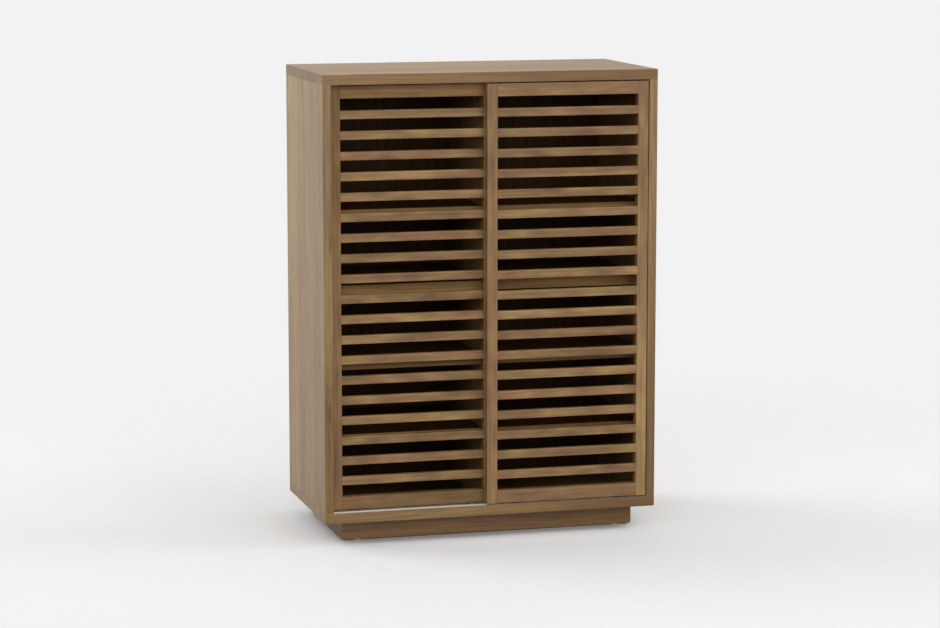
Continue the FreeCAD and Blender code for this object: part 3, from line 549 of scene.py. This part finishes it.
def moulded(name, base, rough, grit, wear=0.0):
    """Moulded plastic: the fine grit that spark erosion leaves in a mould, drawn coarse.

    The eye gets a dull speckle, a slow change of tone from flow, and darker rubbed places."""
    material, tree = new_material(name)
    place = put(tree, "TexCoord").outputs["Object"]
    flow_width = grit * 30
    speck = put(tree, "TexNoise", {"Vector": place, "Scale": 1 / grit, "Detail": 2.0})
    flow = put(tree, "TexNoise", {"Vector": place, "Scale": 1 / flow_width, "Detail": 2.0})
    shade = put(tree, "Math", {0: flow.outputs["Fac"], 1: 0.35 + wear, 2: 0.82 - wear / 2},
                operation="MULTIPLY_ADD").outputs[0]
    surface = put(tree, "VectorMath", {0: tuple(base[:3]), "Scale": shade},
                  operation="SCALE").outputs[0]
    gloss_gain, nylon_ior = 0.2, 1.52
    gloss = put(tree, "Math", {0: flow.outputs["Fac"], 1: gloss_gain, 2: rough - gloss_gain / 2},
                operation="MULTIPLY_ADD").outputs[0]
    bump = put(tree, "Bump", {"Height": speck.outputs["Fac"], "Strength": 0.35,
                              "Distance": 0.05 * MM})
    close_material(tree, {"Base Color": surface, "Roughness": gloss, "IOR": nylon_ior,
                          "Normal": bump.outputs[0]})
    return material


def dress(nodes, material):
    """Give CAD nodes one material in all their slots."""
    for name in nodes:
        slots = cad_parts[name].data.materials
        slots.clear()
        slots.append(material)


# ----------------------------------------------------------------- stage

def beside_plinth(tree, place):
    """Give 0 on the ground that the plinth stands on, and 1 beside it."""
    low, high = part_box("plinth_left_board")[0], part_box("plinth_right_board")[1]
    spot = put(tree, "SeparateXYZ", {0: place}).outputs
    out = []
    for letter in "xy":
        middle, half = ((getattr(high, letter) + sign * getattr(low, letter)) / 2
                        for sign in (1, -1))
        away = put(tree, "Math", {0: spot[letter.upper()], 1: middle}, operation="SUBTRACT")
        away = put(tree, "Math", {0: away.outputs[0]}, operation="ABSOLUTE").outputs[0]
        out.append(put(tree, "Math", {0: away, 1: half}, operation="GREATER_THAN").outputs[0])
    return put(tree, "Math", {0: out[0], 1: out[1]}, operation="MAXIMUM").outputs[0]


def floor_paper(stage):
    """Matt paper, rolled out, that lets through more and more of the backdrop towards its rim.

    The eye gets the shadow on it. What it throws back at the cabinet has a level of its own."""
    paper_grain, paper_bump = 300.0, 0.1 * MM
    material, tree = new_material("Matt paper floor, rolled out")
    place = put(tree, "TexCoord").outputs["Object"]
    away = put(tree, "VectorMath", {0: place}, operation="LENGTH").outputs["Value"]
    fade = put(tree, "MapRange", {"Value": away,
                                  "From Min": stage.floor_radius * FLOOR_FADE_FROM,
                                  "From Max": stage.floor_radius * FLOOR_FADE_TO,
                                  "To Min": FLOOR_CLEAR},
               interpolation_type="SMOOTHSTEP").outputs[0]
    for middle, reach, gain in FLOOR_MARKS:
        more = soft_place(tree, place, middle, reach, gain)
        fade = put(tree, "Math", {0: fade, 1: more}, operation="ADD").outputs[0]

    # To the eye it is solid under the plinth, where the gap shows it dark.
    free = beside_plinth(tree, place)
    rays = put(tree, "LightPath").outputs
    unseen = put(tree, "Math", {0: 1.0, 1: rays["Is Camera Ray"]}, operation="SUBTRACT")
    free = put(tree, "Math", {0: free, 1: unseen.outputs[0]}, operation="MAXIMUM").outputs[0]
    fade = put(tree, "Math", {0: fade, 1: free}, operation="MULTIPLY").outputs[0]

    # From below it is clear, so that the underside of the cabinet can be seen.
    up = put(tree, "TexCoord").outputs["Normal"]
    up = put(tree, "SeparateXYZ", {0: up}).outputs["Z"]
    under = put(tree, "Math", {0: up, 1: 0.0}, operation="LESS_THAN").outputs[0]
    fade = put(tree, "Math", {0: fade, 1: under}, operation="MAXIMUM").outputs[0]

    paper = put(tree, "TexNoise", {"Vector": place, "Scale": paper_grain}).outputs["Fac"]
    paper = put(tree, "Bump", {"Height": paper, "Strength": 0.1, "Distance": paper_bump})
    tint = put(tree, "Mix", {0: rays["Is Diffuse Ray"], 6: rgba(stage.floor),
                             7: rgba(stage.floor_bounce)}, data_type="RGBA").outputs[2]
    matt = put(tree, "BsdfDiffuse", {"Color": tint, "Normal": paper.outputs[0]})
    clear = put(tree, "BsdfTransparent")
    both = put(tree, "MixShader", {0: fade, 1: matt.outputs[0], 2: clear.outputs[0]})
    put(tree, "OutputMaterial", {"Surface": both.outputs[0]})
    return material


def lay_floor(stage):
    """Lay the floor, a flat closed disc with its top at the height of the ground."""
    rings, columns, thickness = 25, 96, 10.0 * MM
    radii = np.linspace(0, stage.floor_radius, rings)
    disc = turned(np.stack((radii, np.zeros(rings)), -1), columns)
    base = turned([(stage.floor_radius, -thickness), (0, -thickness)], columns)
    floor = bpy.data.objects.new("floor", place_mesh("floor", np.concatenate((disc, base))[None]))
    bpy.context.scene.collection.objects.link(floor)
    floor.data.materials.append(floor_paper(stage))


def light_world(stage):
    """Make the world a plain backdrop to the eye and in reflections, and else a soft light."""
    dusk = 0.05  # how far up, of a sphere's radius, the light takes to grow from 0 to the full
    world = bpy.data.worlds.new("Studio")
    bpy.context.scene.world = world
    world.use_nodes = True
    tree = world.node_tree
    tree.nodes.clear()
    rays = put(tree, "LightPath").outputs
    seen = rays["Is Camera Ray"]
    for ray in ("Is Glossy Ray", "Is Transmission Ray"):
        seen = put(tree, "Math", {0: seen, 1: rays[ray]}, operation="MAXIMUM").outputs[0]
    height = put(tree, "TexCoord").outputs["Generated"]
    height = put(tree, "SeparateXYZ", {0: height}).outputs["Z"]
    level = put(tree, "MapRange",
                {"Value": height, "From Max": dusk, "To Max": stage.sky}).outputs[0]
    light = put(tree, "Background", {"Color": (1, 1, 1, 1), "Strength": level})
    drop = put(tree, "Background", {"Color": rgba(stage.backdrop), "Strength": 1.0})
    both = put(tree, "MixShader", {0: seen, 1: light.outputs[0], 2: drop.outputs[0]})
    put(tree, "OutputWorld", {"Surface": both.outputs[0]})


# ------------------------------------------------------------- operators

class CABINET_OT_case(bpy.types.Operator):
    """Finish the top, the bottom and the sides in oiled wood"""
    bl_idname = "cabinet.case"
    bl_label = "Case boards"

    def execute(self, context):
        width = context.scene.cabinet_wood.stave_width
        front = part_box("top_panel")[0].y
        staves = ("y", front - TOP_STAVE_CUT, width)
        dress(("top_panel", "bottom_panel"),
              oiled_wood("Oiled teak, planed, grain along x", "x", staves, seed=1,
                         marks_and_painted_light=CASE_PAINTED_LIGHT))
        staves = ("y", front - SIDE_STAVE_CUT, width)
        dress(("left_side_panel", "right_side_panel"),
              oiled_wood("Oiled teak, planed, grain along z", "z", staves, seed=2,
                         marks_and_painted_light=SIDE_FLECKS_AND_PAINTED_LIGHT))
        return {"FINISHED"}


class CABINET_OT_inside(bpy.types.Operator):
    """Finish the partition, the shelves and the back"""
    bl_idname = "cabinet.inside"
    bl_label = "Inside boards"

    def execute(self, context):
        wood = context.scene.cabinet_wood
        shelves = [f"{side}_shelf_{n}" for side in SIDES for n in range(1, 5)]
        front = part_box("centre_partition")[0].y
        staves = ("y", front, wood.stave_width)
        # The shelves and the back take the inside tone as painted shade on the faces that look
        # into the cabinet.
        dress(shelves, oiled_wood("Teak shelf with painted shade, planed", "x", staves, wood.inner, seed=3,
                                  dull=True, bare=-1.0))
        # The partition has painted shade, darker towards the back.
        dress(["centre_partition"], oiled_wood("Oiled teak partition, planed", "z", staves, seed=4,
                                               marks_and_painted_light=PARTITION_PAINTED_SHADE))
        leaves = ("x", -VENEER_LEAF / 2, VENEER_LEAF)
        dress(["back_panel"], oiled_wood("Teak veneer with painted shade, sliced", "z", leaves, wood.inner,
                                         seed=5, lively=0.6, dull=True, bare=1.0))
        return {"FINISHED"}


class CABINET_OT_plinth(bpy.types.Operator):
    """Finish the plinth boards and the blocks in their corners"""
    bl_idname = "cabinet.plinth"
    bl_label = "Plinth"

    def execute(self, context):
        tone = context.scene.cabinet_wood.plinth
        dress(("plinth_front_board", "plinth_rear_board"),
              oiled_wood("Oiled teak plinth, planed, grain along x", "x", tone=tone, seed=6,
                         marks_and_painted_light=PLINTH_FRONT_MARKS))
        dress(("plinth_left_board", "plinth_right_board", "plinth_cross_rail"),
              oiled_wood("Oiled teak plinth, planed, grain along y", "y", tone=tone, seed=7,
                         marks_and_painted_light=PLINTH_SIDE_PAINTED_SHADE))
        halves = ("x", -0.5, 0.5)  # so that left and right blocks differ
        dress(["plinth_corner_blocks"],
              oiled_wood("Oiled teak block, sawn", "z", halves, tone, seed=8, lively=1.3))
        return {"FINISHED"}


class CABINET_OT_doors(bpy.types.Operator):
    """Finish the stiles, rails and slats of both doors"""
    bl_idname = "cabinet.doors"
    bl_label = "Slatted doors"

    def execute(self, context):
        stiles = [f"{door}_{side}_stile" for door in DOORS for side in SIDES]
        rails = [f"{door}_{end}_rail" for door in DOORS for end in ("top", "bottom")]
        dress(stiles, oiled_wood("Oiled teak stile, planed", "z", seed=9, lively=0.65,
                                 marks_and_painted_light=STILE_TONE_AND_PAINTED_LIGHT, figure=1.4))
        dress(rails, oiled_wood("Oiled teak rail, planed", "x", seed=10, lively=0.65,
                                marks_and_painted_light=RAIL_TONE_AND_PAINTED_LIGHT, figure=1.4))
        for number, door in enumerate(DOORS):
            low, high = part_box(f"{door}_slats")
            pitch = (high.z - low.z - SLAT_HEIGHT) / (SLAT_COUNT - 1)
            edge = low.z - (pitch - SLAT_HEIGHT) / 2
            dress([f"{door}_slats"],
                  oiled_wood(f"Oiled teak slat, planed, {door}", "x", ("z", edge, pitch),
                             seed=11 + number, lively=0.6, figure=2.4))
        return {"FINISHED"}


class CABINET_OT_tracks(bpy.types.Operator):
    """Finish the channels and screw the floor channels down"""
    bl_idname = "cabinet.tracks"
    bl_label = "Tracks"

    def execute(self, context):
        fittings = context.scene.cabinet_fittings
        dress(("front_floor_channel", "rear_floor_channel"),
              lined_metal("Aluminium, extruded, powder coated", fittings.aluminium, 0.5, "x",
                          0.6 * MM, 0.0))
        dress(("front_top_channel", "rear_top_channel"),
              lined_metal("ABS, extruded", fittings.dark_plastic, 0.5, "x", 0.8 * MM, 0.0))
        steel = lined_metal("Zinc plated steel, pressed", fittings.steel, 0.32, "z", 0.5 * MM)
        head = screw_head(fittings.channel_screw, SCREW_STAND)
        places = []
        for channel in ("front_floor_channel", "rear_floor_channel"):
            low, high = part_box(channel)
            for x in np.linspace(low.x + CHANNEL_SCREW_INSET, high.x - CHANNEL_SCREW_INSET,
                                 fittings.channel_screws):
                places.append((x, (low.y + high.y) / 2, low.z + CHANNEL_WALL))
        add_piece("channel_screws", stand_on(head, places, (0, 0, 1)), "cabinet",
                  steel)
        return {"FINISHED"}


class CABINET_OT_stage(bpy.types.Operator):
    """Set up the floor, the lamps and the camera"""
    bl_idname = "cabinet.stage"
    bl_label = "Stage"

    def execute(self, context):
        stage = context.scene.cabinet_stage
        scene = context.scene
        scene.view_settings.view_transform = "Standard"

        lay_floor(stage)
        light_world(stage)
        aim = (0.0, 0.0, 0.5)  # the middle of the cabinet
        for name, at, size, power in LAMPS:
            lamp = bpy.data.lights.new(name, "AREA")
            lamp.shape, lamp.size, lamp.energy = "SQUARE", size, power
            box = bpy.data.objects.new(name, lamp)
            box.location = at
            way = [a - b for a, b in zip(at, aim)]
            box.rotation_mode = "QUATERNION"
            box.rotation_quaternion = Vector(way).to_track_quat("Z", "Y")
            scene.collection.objects.link(box)
            box.visible_glossy = name not in HIDDEN_LAMPS

        camera = bpy.data.cameras.new("camera")
        camera.sensor_width, camera.lens = 36.0, stage.lens
        camera.clip_start, camera.clip_end = 0.1, 100.0
        eye = bpy.data.objects.new("camera", camera)
        eye.location = CAMERA_PLACE
        eye.rotation_euler = (math.radians(90 - CAMERA_DIP), 0.0, math.radians(-CAMERA_HEADING))
        scene.collection.objects.link(eye)
        scene.camera = eye
        return {"FINISHED"}


class CABINET_OT_fittings(bpy.types.Operator):
    """Finish the roller housings, axles, rollers, guides and floor glides"""
    bl_idname = "cabinet.fittings"
    bl_label = "Fittings"

    def execute(self, context):
        fittings = context.scene.cabinet_fittings
        ends = [f"{door}_{side}" for door in DOORS for side in SIDES]
        dress([f"{end}_roller_housing" for end in ends],
              moulded("ABS, moulded, dark", fittings.dark_plastic, 0.5, 0.5 * MM))
        dress([f"{end}_axle" for end in ends],
              lined_metal("Bright steel, drawn", fittings.steel, 0.25, "y", 0.5 * MM))
        nylon = moulded("Nylon, moulded", fittings.nylon, 0.45, 0.6 * MM, 0.1)
        dress([f"{end}_top_guide" for end in ends], nylon)
        steel = bpy.data.materials["Zinc plated steel, pressed"]
        head = screw_head(fittings.housing_screw, SCREW_STAND)
        for end in ends:
            low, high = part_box(f"{end}_roller")
            middle = (low + high) / 2
            grid = roller((high.z - low.z) / 2, fittings.axle_bore / 2, high.y - low.y)
            wheel = add_piece(f"{end}_moulded_roller", stand_on(grid, [middle], (0, 1, 0)),
                              f"{end}_wheel", nylon, rows_meet=True)
            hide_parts(f"{end}_roller")

            low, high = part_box(f"{end}_roller_housing")
            places = [(x, middle.y, low.z) for x in (low.x + fittings.screw_inset,
                                                     high.x - fittings.screw_inset)]
            add_piece(f"{end}_housing_screws", stand_on(head, places, (0, 0, -1)),
                      end.rsplit("_", 1)[0], steel)

        grey = moulded("Nylon, moulded, grey", fittings.glide, 0.5, 0.6 * MM, 0.2)
        for node in [f"{end}_{side}_glide" for end in ("front", "rear") for side in SIDES]:
            low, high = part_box(node)
            middle = (low + high) / 2
            grid = glide_pad((high.x - low.x) / 2, high.z - low.z)
            foot = (middle.x, middle.y, low.z)
            pad = add_piece(f"{node}_pad", stand_on(grid, [foot], (0, 0, 1)), "cabinet",
                            grey)
            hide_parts(node)

        low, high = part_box("plinth_corner_blocks")
        inset = fittings.block_inset
        places = [(x, y, low.z) for x in (low.x + inset, high.x - inset)
                  for y in (low.y + inset, high.y - inset)]
        add_piece("plinth_block_screws", stand_on(head, places, (0, 0, -1)), "cabinet",
                  steel)
        return {"FINISHED"}


class CABINET_PT_panel(bpy.types.Panel):
    """Lists the steps in the order in which they are taken"""
    bl_idname = "CABINET_PT_panel"
    bl_label = "Slatted cabinet"
    bl_space_type = "VIEW_3D"
    bl_region_type = "UI"
    bl_category = "Cabinet"

    def draw(self, context):
        for step in STEPS:
            self.layout.operator(step.bl_idname)


GROUPS = (("cabinet_wood", CabinetWood), ("cabinet_fittings", CabinetFittings),
          ("cabinet_stage", CabinetStage))
STEPS = (CABINET_OT_case, CABINET_OT_inside, CABINET_OT_plinth, CABINET_OT_doors,
         CABINET_OT_tracks, CABINET_OT_fittings, CABINET_OT_stage)


def register():
    """Register the property groups, the operators and the panel."""
    for name, group in GROUPS:
        bpy.utils.register_class(group)
        setattr(bpy.types.Scene, name, PointerProperty(type=group))
    for kind in (*STEPS, CABINET_PT_panel):
        bpy.utils.register_class(kind)


def unregister():
    """Take everything away again."""
    for kind in (CABINET_PT_panel, *reversed(STEPS)):
        bpy.utils.unregister_class(kind)
    for name, group in reversed(GROUPS):
        delattr(bpy.types.Scene, name)
        bpy.utils.unregister_class(group)


def main():
    """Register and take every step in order."""
    register()
    for step in STEPS:
        family, action = step.bl_idname.split(".")
        getattr(getattr(bpy.ops, family), action)()


if __name__ == "__main__":
    main()
